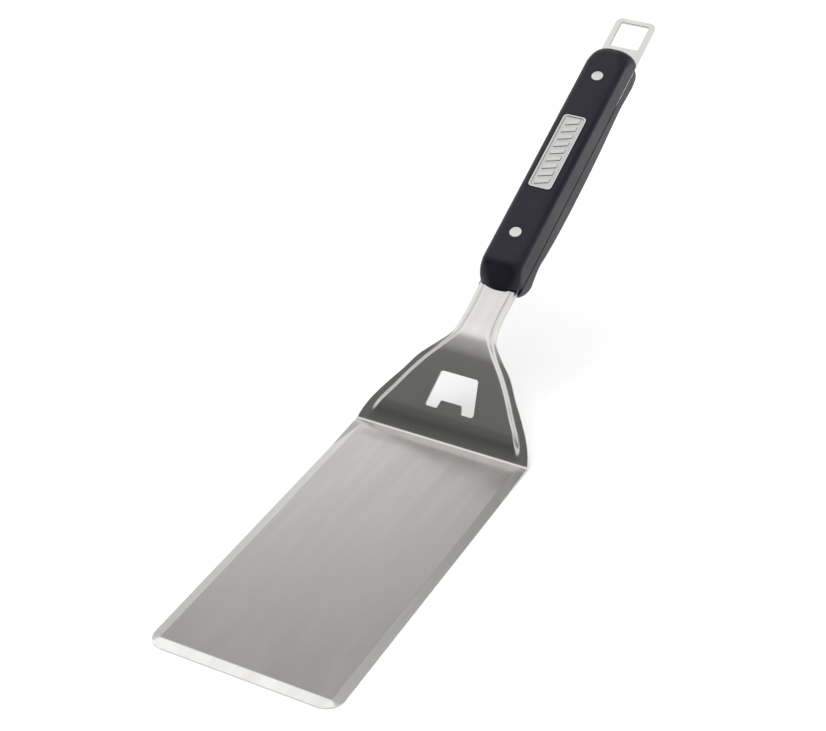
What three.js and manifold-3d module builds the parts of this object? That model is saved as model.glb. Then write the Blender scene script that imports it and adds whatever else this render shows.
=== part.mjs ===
// Grill spatula: a one-piece stainless blade, neck, tang and hang loop, between two riveted handle scales.
// Millimetres, +Z up. The blade lies flat, +Y runs from the blade to the handle, and X is the blade's width.
// A place on the steel is given by x, by s, the distance along the sheet from the crease, and by the height
// off the sheet's upper surface, measured square to it.
import * as THREE from "three";
import { mergeVertices } from "three/addons/utils/BufferGeometryUtils.js";
import Module from "manifold-3d";

const wasm = await Module();
wasm.setup();

const DEGREE = Math.PI / 180;
const FIT_GAP = 0.3;

// Steel sheet
const SHEET_THICKNESS = 1.5;
const BLADE_LENGTH = 198.4;
const BLADE_FRONT_HALF = 50.8;
const BLADE_CORNER_RADIUS = 9.5;
const GROUND_EDGE = 0.5;
const FRONT_BEVEL_WIDTH = 6;
const SIDE_BEVEL_WIDTH = 5;
const SIDE_BEVEL_START = 4;
const SIDE_BEVEL_RUN_OUT = 12;
const CREASE_ARC = 2;
const NECK_SLOPE = 49.3 * DEGREE;
const BEND_START = 46.6;
const BEND_END = 68.4;
const TANG_SLOPE = 24.1 * DEGREE;
const TANG_HALF = 11.1;
const LOOP_HALF = 12.3;
const LOOP_WIDENING = [218, 237];
const LOOP_END = 287.8;
const LOOP_CORNER_RADIUS = 4;
const LOOP_OPENING = { half: 8.45, front: 266.8, rear: 284.6, radius: 0.8 };

// Half-widths of the neck at each distance from the crease: the steel's edge, and the raised centre's step.
const NECK_OUTLINE = [
  { s: 0, edge: 50.2, step: 43.2 },
  { s: 6, edge: 48.5, step: 42.6 },
  { s: 13, edge: 45.4, step: 39.8 },
  { s: 22, edge: 39.9, step: 34.3 },
  { s: 32, edge: 33, step: 28.4 },
  { s: 42, edge: 26.6, step: 21.6 },
  { s: 50, edge: 19.3, step: 15.2 },
  { s: 58, edge: 13, step: 9.9 },
  { s: 68, edge: TANG_HALF, step: 8 },
  { s: 90, edge: TANG_HALF, step: 8 },
];
const RAISED_HEIGHT = 1.8;
const RAISED_FADE_IN = [1, 8];
const RAISED_FADE_OUT = [98, 112];
const STEP_SPREAD = 1;
const STEP_INNER_SPREAD = 0.35;
const STEP_INNER_RISE = 0.18;
const CORNER_STEPS = 5;

// Bottle opener, cut through the raised centre of the neck
const OPENER = {
  front: 16.7,
  rear: 36.6,
  frontHalf: 14.2,
  rearHalf: 10.7,
  tabRear: 21.4,
  tabFrontHalf: 7.3,
  tabRearHalf: 6,
  cornerRadius: 1.8,
  tabRadius: 1,
};

// Handle scales. In plan each end is a superellipse, round over its length. Above a short upright foot, the
// upper scale's end face leans back and is rounded into the top. The radius of the scale's long edges grows over
// the last stretch.
const HANDLE_HALF = 12.3;
const HANDLE_DRAFT = 0.0036;
const HANDLE_TOP = 13.9;
const UPPER_EDGE_RADIUS = 4.6;
const UPPER_ENDS = {
  front: {
    at: 87.9,
    length: 8.5,
    power: 2.3,
    foot: 2.1,
    lean: 40 * DEGREE,
    topRadius: 5,
    edgeRadius: 7,
    stretch: 13,
  },
  rear: { at: 259.4, length: 6, power: 3, foot: 0, lean: 0, topRadius: 12.5, edgeRadius: 11.5, stretch: 16 },
};
const LOWER_EDGE_RADIUS = 3.6;
const LOWER_ENDS = {
  front: { at: 88.6, length: 3.4, power: 3 },
  rear: { at: 257.6, length: 5.6, power: 2.6 },
};
const UPPER_SEAM = -0.75;
const LOWER_SEAM = -1.45;
const TIP_ANGLE = 0.12;
const END_STEPS = 8;
const EDGE_STEPS = 6;
const BUMP_STEPS = 9;
const PALM_STEPS = 22;
const ROUND_LIMIT = 0.97;
const POCKET_OPEN = { front: 94, rear: 221, half: 14 };

// Depth of the lower scale under the tang at each distance from the crease.
const LOWER_PROFILE = [
  { s: 88.6, depth: 2.6 },
  { s: 92, depth: 6.8 },
  { s: 97, depth: 11 },
  { s: 102.4, depth: 13.1 },
  { s: 108.5, depth: 11.5 },
  { s: 115, depth: 10.5 },
  { s: 123.5, depth: 11.7 },
  { s: 136, depth: 12.9 },
  { s: 150, depth: 13.6 },
  { s: 167, depth: 13.8 },
  { s: 187, depth: 13.4 },
  { s: 203, depth: 12.6 },
  { s: 218, depth: 11.2 },
  { s: 231, depth: 10.5 },
  { s: 243.5, depth: 11.5 },
  { s: 250, depth: 11.1 },
  { s: 255, depth: 8 },
  { s: 257.6, depth: 3 },
];

// Rivets
const RIVET_PLACES = [
  { name: "front", s: 118.7, depth: 10.7 },
  { name: "rear", s: 232.2, depth: 10.5 },
];
const RIVET_HEAD_RADIUS = 3.4;
const RIVET_HEAD_THICKNESS = 1.6;
const RIVET_POST_RADIUS = 1.5;
const RIVET_POST_END = -5;
const RIVET_SLEEVE_RADIUS = 2.4;
const RIVET_SLEEVE_BORE = RIVET_POST_RADIUS + FIT_GAP;
const RIVET_SLEEVE_END = 10.2;
const RIVET_CHAMFER = 0.25;

// Badge
const BADGE = { half: 6.9, front: 149.6, rear: 201.9, radius: 2.2 };
const BADGE_PROUD = 0.2;
const BADGE_THICKNESS = 1.2;
const BADGE_CHAMFER = 0.25;
const PAD_INSET = 0.6;
const PAD_THICKNESS = 0.5;
const PANEL_INSET = 1.5;
const PANEL_DEPTH = 0.4;
const BAR_COUNT = 9;
const BAR_HALF = 3.9;
const BAR_WIDTH = 3;
const BAR_SLANT = 1.4;
const BAR_MARGIN = 3.4;
const BAR_CORNER = 0.5;

// Fineness of round shapes
const ROUND_SEGMENTS = 32;
const CURVE_STEPS = 5;
const BAR_CURVE_STEPS = 2;

// Reach of the blocks and cutters that only have to be larger than what they cut
const BLOCK_SIZE = 700;
const CUT_DEPTH = 12;

// ---- solids ----

function toSolid(geometry) {
  const bare = geometry.clone();
  bare.deleteAttribute("normal");
  bare.deleteAttribute("uv");
  const merged = mergeVertices(bare, 1e-4);
  const mesh = new wasm.Mesh({
    numProp: 3,
    vertProperties: merged.attributes.position.array,
    triVerts: new Uint32Array(merged.index.array),
  });
  return new wasm.Manifold(mesh);
}

function toGeometry(solid) {
  const mesh = solid.getMesh();
  const geometry = new THREE.BufferGeometry();
  geometry.setAttribute("position", new THREE.BufferAttribute(mesh.vertProperties, 3));
  geometry.setIndex(new THREE.BufferAttribute(mesh.triVerts, 1));
  return geometry;
}

function namedMesh(name, geometry, material) {
  const mesh = new THREE.Mesh(geometry, material);
  mesh.name = name;
  mesh.geometry.computeVertexNormals();
  return mesh;
}

// Everything on the side of a plane that its normal points to.
function halfSpace(point, normal) {
  const block = new THREE.BoxGeometry(BLOCK_SIZE, BLOCK_SIZE, BLOCK_SIZE);
  block.translate(0, 0, BLOCK_SIZE / 2);
  const up = new THREE.Vector3(0, 0, 1);
  block.applyQuaternion(new THREE.Quaternion().setFromUnitVectors(up, normal.clone().normalize()));
  block.translate(point.x, point.y, point.z);
  return toSolid(block);
}

// A closed plate between an upper and a lower grid of points, each a list of rows.
function plateBetween(upper, lower) {
  const rows = upper.length;
  const columns = upper[0].length;
  const at = (layer, row, column) => (layer * rows + row) * columns + column;
  const faces = [];
  const quad = (a, b, c, d) => faces.push(a, b, c, a, c, d);
  for (let r = 0; r + 1 < rows; r += 1) {
    for (let c = 0; c + 1 < columns; c += 1) {
      quad(at(0, r, c), at(0, r, c + 1), at(0, r + 1, c + 1), at(0, r + 1, c));
      quad(at(1, r, c), at(1, r + 1, c), at(1, r + 1, c + 1), at(1, r, c + 1));
    }
    const last = columns - 1;
    quad(at(0, r, 0), at(0, r + 1, 0), at(1, r + 1, 0), at(1, r, 0));
    quad(at(0, r, last), at(1, r, last), at(1, r + 1, last), at(0, r + 1, last));
  }
  for (let c = 0; c + 1 < columns; c += 1) {
    const last = rows - 1;
    quad(at(0, 0, c), at(1, 0, c), at(1, 0, c + 1), at(0, 0, c + 1));
    quad(at(0, last, c), at(0, last, c + 1), at(1, last, c + 1), at(1, last, c));
  }
  const points = [...upper.flat(), ...lower.flat()];
  const geometry = new THREE.BufferGeometry().setFromPoints(points);
  geometry.setIndex(faces);
  return geometry;
}

// A closed body through rings of points that all run the same way round, with flat ends.
function loft(rings) {
  const count = rings[0].length;
  const faces = [];
  for (let k = 0; k + 1 < rings.length; k += 1) {
    for (let i = 0; i < count; i += 1) {
      const a = k * count + i;
      const b = k * count + ((i + 1) % count);
      faces.push(a, b, b + count, a, b + count, a + count);
    }
  }
  const start = (rings.length - 1) * count;
  for (let i = 1; i + 1 < count; i += 1) {
    faces.push(0, i + 1, i);
    faces.push(start, start + i, start + i + 1);
  }
  const geometry = new THREE.BufferGeometry().setFromPoints(rings.flat());
  geometry.setIndex(faces);
  return geometry;
}

// A closed outline through corners of { x, y, radius }, each corner rounded to its radius.
function roundedOutline(corners) {
  const shape = new THREE.Shape();
  corners.forEach((corner, i) => {
    const here = new THREE.Vector2(corner.x, corner.y);
    const before = corners[(i + corners.length - 1) % corners.length];
    const after = corners[(i + 1) % corners.length];
    const back = new THREE.Vector2(before.x, before.y).sub(here).normalize();
    const ahead = new THREE.Vector2(after.x, after.y).sub(here).normalize();
    const half = Math.acos(back.dot(ahead)) / 2;
    const cut = corner.radius / Math.tan(half);
    const start = here.clone().addScaledVector(back, cut);
    const end = here.clone().addScaledVector(ahead, cut);
    if (i === 0) shape.moveTo(start.x, start.y);
    else shape.lineTo(start.x, start.y);
    shape.quadraticCurveTo(here.x, here.y, end.x, end.y);
  });
  shape.closePath();
  return shape;
}

function roundedRectangle({ half, front, rear, radius }, inset = 0) {
  const r = radius - Math.min(inset, radius / 2);
  return roundedOutline([
    { x: half - inset, y: front + inset, radius: r },
    { x: half - inset, y: rear - inset, radius: r },
    { x: inset - half, y: rear - inset, radius: r },
    { x: inset - half, y: front + inset, radius: r },
  ]);
}

function extruded(shape, from, to, curveSegments = CURVE_STEPS) {
  const geometry = new THREE.ExtrudeGeometry(shape, { depth: to - from, bevelEnabled: false, curveSegments });
  return geometry.translate(0, 0, from);
}

// ---- the bent sheet ----

// Stretches of the sheet behind the flat blade: where each one starts and ends, and how far it turns.
const STRETCHES = [
  { from: -CREASE_ARC / 2, to: CREASE_ARC / 2, turn: NECK_SLOPE },
  { from: CREASE_ARC / 2, to: BEND_START, turn: 0 },
  { from: BEND_START, to: BEND_END, turn: TANG_SLOPE - NECK_SLOPE },
  { from: BEND_END, to: LOOP_END, turn: 0 },
];

// Where the sheet's upper surface is at s, on the centre line, and its slope there.
function sheetFrame(s) {
  const frame = { y: Math.min(s, -CREASE_ARC / 2), z: 0, slope: 0 };
  for (const { from, to, turn } of STRETCHES) {
    const run = THREE.MathUtils.clamp(s - from, 0, to - from);
    const turned = (turn * run) / (to - from);
    const chord = turned === 0 ? run : (run * Math.sin(turned / 2)) / (turned / 2);
    frame.y += chord * Math.cos(frame.slope + turned / 2);
    frame.z += chord * Math.sin(frame.slope + turned / 2);
    frame.slope += turned;
  }
  return frame;
}

function onSheet(x, s, off) {
  const { y, z, slope } = sheetFrame(s);
  return new THREE.Vector3(x, y - off * Math.sin(slope), z + off * Math.cos(slope));
}

const neckCurves = new THREE.CubicInterpolant(
  NECK_OUTLINE.map(({ s }) => s),
  NECK_OUTLINE.flatMap(({ edge, step }) => [edge, step]),
  2,
);

// Half-widths of the steel's edge and of the raised centre at s.
function sheetWidths(s) {
  const crease = NECK_OUTLINE[0];
  if (s <= 0) {
    const edge = THREE.MathUtils.lerp(crease.edge, BLADE_FRONT_HALF, -s / BLADE_LENGTH);
    const past = Math.max(BLADE_CORNER_RADIUS - BLADE_LENGTH - s, 0);
    const rounded = edge - BLADE_CORNER_RADIUS + Math.sqrt(BLADE_CORNER_RADIUS ** 2 - past ** 2);
    return { edge: rounded, step: (crease.step * rounded) / crease.edge };
  }
  if (s < NECK_OUTLINE.at(-1).s) {
    const [edge, step] = neckCurves.evaluate(s);
    return { edge, step };
  }
  const widening = THREE.MathUtils.smoothstep(s, ...LOOP_WIDENING);
  const edge = THREE.MathUtils.lerp(TANG_HALF, LOOP_HALF, widening);
  const past = Math.max(s - LOOP_END + LOOP_CORNER_RADIUS, 0);
  const rounded = edge - LOOP_CORNER_RADIUS + Math.sqrt(LOOP_CORNER_RADIUS ** 2 - past ** 2);
  return { edge: rounded, step: (NECK_OUTLINE.at(-1).step * rounded) / edge };
}

function raisedHeight(s) {
  const fadeIn = THREE.MathUtils.smoothstep(s, ...RAISED_FADE_IN);
  const fadeOut = THREE.MathUtils.smoothstep(s, ...RAISED_FADE_OUT);
  return RAISED_HEIGHT * fadeIn * (1 - fadeOut);
}

function evenly(from, to, count) {
  return Array.from({ length: count }, (_, i) => THREE.MathUtils.lerp(from, to, i / count));
}

// Distances along the sheet, close together where it bends or its outline curves.
function sheetStations() {
  const quarter = evenly(0, Math.PI / 2, CORNER_STEPS);
  const frontCorner = quarter.map((a) => BLADE_CORNER_RADIUS * (1 - Math.cos(a)) - BLADE_LENGTH);
  const loopCorner = quarter.map((a) => LOOP_END + LOOP_CORNER_RADIUS * (Math.sin(a) - 1));
  return [
    ...frontCorner,
    BLADE_CORNER_RADIUS - BLADE_LENGTH,
    ...evenly(-CREASE_ARC / 2, CREASE_ARC / 2, 4),
    ...evenly(CREASE_ARC / 2, RAISED_FADE_IN[1], 5),
    ...evenly(RAISED_FADE_IN[1], BEND_START, 12),
    ...evenly(BEND_START, BEND_END, 10),
    BEND_END,
    ...evenly(...RAISED_FADE_OUT, 5),
    RAISED_FADE_OUT[1],
    ...evenly(...LOOP_WIDENING, 4),
    LOOP_WIDENING[1],
    ...loopCorner,
    LOOP_END,
  ];
}

// One row of the sheet's section: x and the height of the upper surface, from left to right. On the flat
// blade, where nothing is raised, the columns of the step spread out towards the front.
function sheetRow(s) {
  const { edge, step } = sheetWidths(s);
  const height = raisedHeight(s);
  const wider = 1 + Math.max(-s, 0) / BLADE_FRONT_HALF;
  const right = [
    { x: step - wider * STEP_SPREAD, rise: 1 },
    { x: step - wider * STEP_INNER_SPREAD, rise: 1 - STEP_INNER_RISE },
    { x: step + wider * STEP_INNER_SPREAD, rise: STEP_INNER_RISE },
    { x: step + wider * STEP_SPREAD, rise: 0 },
    { x: edge, rise: 0 },
  ];
  const left = right.map(({ x, rise }) => ({ x: -x, rise })).reverse();
  const row = [...left, { x: 0, rise: 1 }, ...right];
  return row.map(({ x, rise }) => ({ x, off: rise * height }));
}

// The bevels ground along the blade's front and sides, as solids to take away.
function bevelCuts() {
  const drop = SHEET_THICKNESS - GROUND_EDGE;
  const crease = NECK_OUTLINE[0].edge;
  const front = halfSpace(
    new THREE.Vector3(0, FRONT_BEVEL_WIDTH - BLADE_LENGTH, 0),
    new THREE.Vector3(0, -drop, FRONT_BEVEL_WIDTH),
  );
  const room = halfSpace(new THREE.Vector3(0, -SIDE_BEVEL_START, 0), new THREE.Vector3(0, -1, 0));
  const runOut = halfSpace(
    new THREE.Vector3(0, -SIDE_BEVEL_START, 0),
    new THREE.Vector3(0, -drop, SIDE_BEVEL_RUN_OUT),
  );
  const sides = [-1, 1].map((side) => {
    const flare = (BLADE_FRONT_HALF - crease) / BLADE_LENGTH;
    const slope = drop / SIDE_BEVEL_WIDTH;
    const edge = new THREE.Vector3(side * (crease - SIDE_BEVEL_WIDTH), 0, 0);
    return halfSpace(edge, new THREE.Vector3(side * slope, flare * slope, 1));
  });
  const sideCuts = sides.map((side) => side.intersect(room).intersect(runOut));
  return front.intersect(room).add(sideCuts[0]).add(sideCuts[1]);
}

function openerCut() {
  const { front, rear, frontHalf, rearHalf, tabRear, tabFrontHalf, tabRearHalf } = OPENER;
  const right = [
    { x: tabFrontHalf, y: front, radius: OPENER.tabRadius },
    { x: frontHalf, y: front, radius: OPENER.cornerRadius },
    { x: rearHalf, y: rear, radius: OPENER.cornerRadius },
  ];
  const left = right.map(({ x, y, radius }) => ({ x: -x, y, radius })).reverse();
  const tab = [-1, 1].map((side) => ({ x: side * tabRearHalf, y: tabRear, radius: OPENER.tabRadius }));
  const cutter = extruded(roundedOutline([...right, ...left, ...tab]), -CUT_DEPTH, CUT_DEPTH);
  const start = sheetFrame(CREASE_ARC / 2);
  cutter.translate(0, -CREASE_ARC / 2, 0);
  cutter.rotateX(NECK_SLOPE);
  cutter.translate(0, start.y, start.z);
  return toSolid(cutter);
}

// The frame in which +Y runs along the straight tang, with y equal to s, and +Z is square to it.
const tangFrame = new THREE.Group();
tangFrame.rotation.x = TANG_SLOPE;
tangFrame.position.copy(onSheet(0, BEND_END, 0));
tangFrame.position.y -= BEND_END * Math.cos(TANG_SLOPE);
tangFrame.position.z -= BEND_END * Math.sin(TANG_SLOPE);
tangFrame.updateMatrix();

function rivetHole(s, from, to, radius) {
  const hole = new THREE.CylinderGeometry(radius, radius, to - from, ROUND_SEGMENTS);
  hole.rotateX(Math.PI / 2);
  return hole.translate(0, s, (from + to) / 2);
}

function bladeAndTang() {
  const rows = sheetStations().map((s) => ({ s, points: sheetRow(s) }));
  const upper = rows.map(({ s, points }) => points.map(({ x, off }) => onSheet(x, s, off)));
  const lower = rows.map(({ s, points }) => points.map(({ x, off }) => onSheet(x, s, off - SHEET_THICKNESS)));
  const loop = extruded(roundedRectangle(LOOP_OPENING), -CUT_DEPTH, CUT_DEPTH).applyMatrix4(tangFrame.matrix);
  let steel = toSolid(plateBetween(upper, lower));
  steel = steel.subtract(bevelCuts()).subtract(openerCut()).subtract(toSolid(loop));
  for (const { s } of RIVET_PLACES) {
    const hole = rivetHole(s, -CUT_DEPTH, CUT_DEPTH, RIVET_SLEEVE_RADIUS + FIT_GAP);
    steel = steel.subtract(toSolid(hole.applyMatrix4(tangFrame.matrix)));
  }
  return toGeometry(steel);
}

// ---- the handle, in the tang's frame ----

// Distances along a scale, close together where its ends curve, at the same turn of the superellipse.
function scaleStations({ front, rear }) {
  const inwards = evenly(TIP_ANGLE, Math.PI / 2, END_STEPS).map((a) => 1 - Math.cos(a));
  return {
    front: [...inwards.map((t) => front.at + front.length * t), front.at + front.length],
    rear: [...inwards.map((t) => rear.at - rear.length * t), rear.at - rear.length].reverse(),
  };
}

// The half-width of a scale at s, where its plan ends curve in.
function scaleHalf(s, { front, rear }) {
  const curl = [1 - (s - front.at) / front.length, 1 - (rear.at - s) / rear.length];
  const shares = curl.map((c, i) => 1 - Math.max(c, 0) ** [front.power, rear.power][i]);
  return HANDLE_HALF * Math.min(shares[0] ** (1 / front.power), shares[1] ** (1 / rear.power));
}

// A section of a scale at s: from one seam edge round to the other. Side is 1 above the tang and -1 below it.
function scaleRing(s, { half, seam, reach, radius, side, draft }) {
  const round = Math.min(radius, ROUND_LIMIT * half, ROUND_LIMIT * (reach - side * seam));
  const right = [new THREE.Vector3(half, s, seam)];
  for (let i = 0; i <= EDGE_STEPS; i += 1) {
    const angle = (i / EDGE_STEPS) * (Math.PI / 2);
    const height = reach - round + round * Math.sin(angle);
    const narrowing = 1 - draft * Math.max(height, 0);
    const x = half * narrowing - round + round * Math.cos(angle);
    right.push(new THREE.Vector3(x, s, side * height));
  }
  const left = right.map((p) => new THREE.Vector3(-p.x, p.y, p.z)).reverse();
  const ring = [...right, ...left];
  return side > 0 ? ring.reverse() : ring;
}

// Height of the upper scale's end at a distance in from its tip: the leaning face, then its round into the top.
function endHeight(inward, { foot, lean, topRadius }) {
  const corner = (HANDLE_TOP - foot) * Math.tan(lean);
  const tangent = topRadius * Math.tan((Math.PI / 2 - lean) / 2);
  if (inward < corner - tangent * Math.sin(lean)) return foot + inward / Math.tan(lean);
  const past = Math.max(corner + tangent - inward, 0);
  return HANDLE_TOP - topRadius + Math.sqrt(Math.max(topRadius ** 2 - past ** 2, 0));
}

function upperReach(s) {
  const { front, rear } = UPPER_ENDS;
  return Math.min(endHeight(s - front.at, front), endHeight(rear.at - s, rear));
}

// Radius of the upper scale's long edges at s, growing towards its ends.
function upperEdge(s) {
  const { front, rear } = UPPER_ENDS;
  const nose = Math.max(1 - (s - front.at) / front.stretch, 0);
  const butt = Math.max(1 - (rear.at - s) / rear.stretch, 0);
  const more = nose * (front.edgeRadius - UPPER_EDGE_RADIUS) + butt * (rear.edgeRadius - UPPER_EDGE_RADIUS);
  return UPPER_EDGE_RADIUS + more;
}

const lowerCurve = new THREE.CubicInterpolant(
  LOWER_PROFILE.map(({ s }) => s),
  LOWER_PROFILE.map(({ depth }) => depth),
  1,
);

function upperBlank() {
  const { front, rear } = scaleStations(UPPER_ENDS);
  const nose = UPPER_ENDS.front.at + UPPER_ENDS.front.stretch;
  const butt = UPPER_ENDS.rear.at - UPPER_ENDS.rear.stretch;
  const stations = [
    ...front,
    ...evenly(front.at(-1) + 1, nose, END_STEPS),
    nose,
    ...evenly(butt, rear[0], END_STEPS),
    ...rear,
  ];
  const rings = stations.map((s) =>
    scaleRing(s, {
      half: scaleHalf(s, UPPER_ENDS),
      seam: UPPER_SEAM,
      reach: upperReach(s),
      radius: upperEdge(s),
      side: 1,
      draft: HANDLE_DRAFT,
    }),
  );
  return toSolid(loft(rings));
}

function lowerBlank() {
  const { front, rear } = scaleStations(LOWER_ENDS);
  const hollow = LOWER_PROFILE[5].s;
  const bump = evenly(front.at(-1) + 1, hollow, BUMP_STEPS);
  const palm = evenly(hollow, rear[0], PALM_STEPS);
  const rings = [...front, ...bump, ...palm, ...rear].map((s) =>
    scaleRing(s, {
      half: scaleHalf(s, LOWER_ENDS),
      seam: LOWER_SEAM,
      reach: lowerCurve.evaluate(s)[0],
      radius: LOWER_EDGE_RADIUS,
      side: -1,
      draft: 0,
    }),
  );
  return toSolid(loft(rings));
}

// The room that the tang takes between the scales, open to both sides at the front and at the rear.
function tangPocket() {
  const half = TANG_HALF + FIT_GAP;
  const { front, rear, half: open } = POCKET_OPEN;
  const right = [
    [open, UPPER_ENDS.front.at - CUT_DEPTH],
    [open, front],
    [half, front],
    [half, rear],
    [open, rear],
    [open, UPPER_ENDS.rear.at + CUT_DEPTH],
  ];
  const left = right.map(([x, s]) => [-x, s]).reverse();
  const outline = new THREE.Shape([...right, ...left].map(([x, s]) => new THREE.Vector2(x, s)));
  return toSolid(extruded(outline, -SHEET_THICKNESS - FIT_GAP, FIT_GAP));
}

// Groove under the upper scale that clears the tang's raised centre.
function raisedCentreGroove() {
  const foot = NECK_OUTLINE.at(-1).step + STEP_SPREAD + 2 * FIT_GAP;
  const top = foot - STEP_SPREAD;
  const height = RAISED_HEIGHT + FIT_GAP;
  const section = new THREE.Shape();
  section.moveTo(-foot, -height);
  section.lineTo(foot, -height);
  section.lineTo(foot, FIT_GAP);
  section.lineTo(top, height);
  section.lineTo(-top, height);
  section.lineTo(-foot, FIT_GAP);
  section.closePath();
  const groove = extruded(section, -RAISED_FADE_OUT[1], CUT_DEPTH - UPPER_ENDS.front.at);
  groove.rotateX(Math.PI / 2);
  return toSolid(groove);
}

function upperScale() {
  let scale = upperBlank().subtract(tangPocket());
  const floor = HANDLE_TOP + BADGE_PROUD - BADGE_THICKNESS - PAD_THICKNESS - 2 * FIT_GAP;
  const recess = extruded(roundedRectangle(BADGE, -FIT_GAP), floor, HANDLE_TOP + CUT_DEPTH);
  scale = scale.subtract(raisedCentreGroove()).subtract(toSolid(recess));
  const shoulder = HANDLE_TOP - RIVET_HEAD_THICKNESS - FIT_GAP;
  for (const { s } of RIVET_PLACES) {
    const bore = rivetHole(s, -CUT_DEPTH, HANDLE_TOP + CUT_DEPTH, RIVET_SLEEVE_RADIUS + FIT_GAP);
    const seat = rivetHole(s, shoulder, HANDLE_TOP + CUT_DEPTH, RIVET_HEAD_RADIUS + FIT_GAP);
    scale = scale.subtract(toSolid(bore)).subtract(toSolid(seat));
  }
  return toGeometry(scale);
}

function lowerScale() {
  let scale = lowerBlank().subtract(tangPocket());
  for (const { s, depth } of RIVET_PLACES) {
    const shoulder = RIVET_HEAD_THICKNESS + FIT_GAP - depth;
    const bore = rivetHole(s, -depth - CUT_DEPTH, CUT_DEPTH, RIVET_SLEEVE_RADIUS + FIT_GAP);
    const seat = rivetHole(s, -depth - CUT_DEPTH, shoulder, RIVET_HEAD_RADIUS + FIT_GAP);
    scale = scale.subtract(toSolid(bore)).subtract(toSolid(seat));
  }
  return toGeometry(scale);
}

function turned(points) {
  const profile = points.map(([r, h]) => new THREE.Vector2(r, h));
  return new THREE.LatheGeometry(profile, ROUND_SEGMENTS).rotateX(Math.PI / 2);
}

// Solid half of a rivet: a flat head with a post below it.
function rivetPost() {
  const head = HANDLE_TOP - RIVET_HEAD_THICKNESS;
  return turned([
    [0, RIVET_POST_END],
    [RIVET_POST_RADIUS, RIVET_POST_END],
    [RIVET_POST_RADIUS, head],
    [RIVET_HEAD_RADIUS, head],
    [RIVET_HEAD_RADIUS, HANDLE_TOP - RIVET_CHAMFER],
    [RIVET_HEAD_RADIUS - RIVET_CHAMFER, HANDLE_TOP],
    [0, HANDLE_TOP],
  ]);
}

// Tubular half of a rivet: a flat head with a sleeve above it, open at the top.
function rivetSleeve(depth) {
  const head = RIVET_HEAD_THICKNESS - depth;
  return turned([
    [0, -depth],
    [RIVET_HEAD_RADIUS - RIVET_CHAMFER, -depth],
    [RIVET_HEAD_RADIUS, RIVET_CHAMFER - depth],
    [RIVET_HEAD_RADIUS, head],
    [RIVET_SLEEVE_RADIUS, head],
    [RIVET_SLEEVE_RADIUS, RIVET_SLEEVE_END],
    [RIVET_SLEEVE_BORE, RIVET_SLEEVE_END],
    [RIVET_SLEEVE_BORE, head],
    [0, head],
  ]);
}

// A slanted bar of the badge's pattern, centred on s.
function barOutline(s) {
  const end = BAR_WIDTH / 2;
  return roundedOutline([
    { x: BAR_HALF, y: s - end + BAR_SLANT, radius: BAR_CORNER },
    { x: BAR_HALF, y: s + end + BAR_SLANT, radius: BAR_CORNER },
    { x: -BAR_HALF, y: s + end - BAR_SLANT, radius: BAR_CORNER },
    { x: -BAR_HALF, y: s - end - BAR_SLANT, radius: BAR_CORNER },
  ]);
}

// Badge plate: a rim round a sunk panel, with a row of slanted bars standing in it.
function badgePlate() {
  const top = HANDLE_TOP + BADGE_PROUD;
  const plate = new THREE.ExtrudeGeometry(roundedRectangle(BADGE), {
    depth: BADGE_THICKNESS - 2 * BADGE_CHAMFER,
    bevelThickness: BADGE_CHAMFER,
    bevelSize: BADGE_CHAMFER,
    bevelOffset: -BADGE_CHAMFER,
    bevelSegments: 1,
    curveSegments: CURVE_STEPS,
  });
  plate.translate(0, 0, top - BADGE_THICKNESS + BADGE_CHAMFER);
  const panel = roundedRectangle(BADGE, PANEL_INSET);
  const first = BADGE.front + PANEL_INSET + BAR_MARGIN;
  const last = BADGE.rear - PANEL_INSET - BAR_MARGIN;
  for (let i = 0; i < BAR_COUNT; i += 1) {
    panel.holes.push(barOutline(THREE.MathUtils.lerp(first, last, i / (BAR_COUNT - 1))));
  }
  const sunk = extruded(panel, top - PANEL_DEPTH, top + CUT_DEPTH, BAR_CURVE_STEPS);
  return toGeometry(toSolid(plate).subtract(toSolid(sunk)));
}

function badgePad() {
  const top = HANDLE_TOP + BADGE_PROUD - BADGE_THICKNESS - FIT_GAP;
  return extruded(roundedRectangle(BADGE, PAD_INSET), top - PAD_THICKNESS, top);
}

// ---- materials ----

const steelFinish = new THREE.MeshStandardMaterial({ color: 0xb9b8b2, roughness: 0.32, metalness: 1 });
const plasticFinish = new THREE.MeshStandardMaterial({ color: 0x2a2a2d, roughness: 0.5, metalness: 0 });
const rivetFinish = new THREE.MeshStandardMaterial({ color: 0xd2d2ce, roughness: 0.28, metalness: 1 });
const badgeFinish = new THREE.MeshStandardMaterial({ color: 0xc9c9c4, roughness: 0.35, metalness: 1 });
const padFinish = new THREE.MeshStandardMaterial({ color: 0x161616, roughness: 0.9, metalness: 0 });

// ---- assembly ----

tangFrame.add(
  namedMesh("upper_scale", upperScale(), plasticFinish.clone()),
  namedMesh("lower_scale", lowerScale(), plasticFinish.clone()),
  namedMesh("badge_plate", badgePlate(), badgeFinish),
  namedMesh("badge_adhesive_pad", badgePad(), padFinish),
);
for (const { name, s, depth } of RIVET_PLACES) {
  const rivet = new THREE.Group();
  rivet.position.y = s;
  rivet.add(
    namedMesh(`${name}_rivet_post`, rivetPost(), rivetFinish.clone()),
    namedMesh(`${name}_rivet_sleeve`, rivetSleeve(depth), rivetFinish.clone()),
  );
  tangFrame.add(rivet);
}

const tool = new THREE.Group();
tool.add(namedMesh("blade_and_tang", bladeAndTang(), steelFinish), tangFrame);

// The origin is under the middle of the whole tool, on the surface that the blade lies on.
const spatula = new THREE.Group();
spatula.add(tool);
const bounds = new THREE.Box3().setFromObject(spatula, true);
const middle = bounds.getCenter(new THREE.Vector3());
tool.position.set(-middle.x, -middle.y, -bounds.min.z);

export default spatula;
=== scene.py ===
import math

import bpy
from mathutils import Matrix, Vector
from mathutils.kdtree import KDTree


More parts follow.
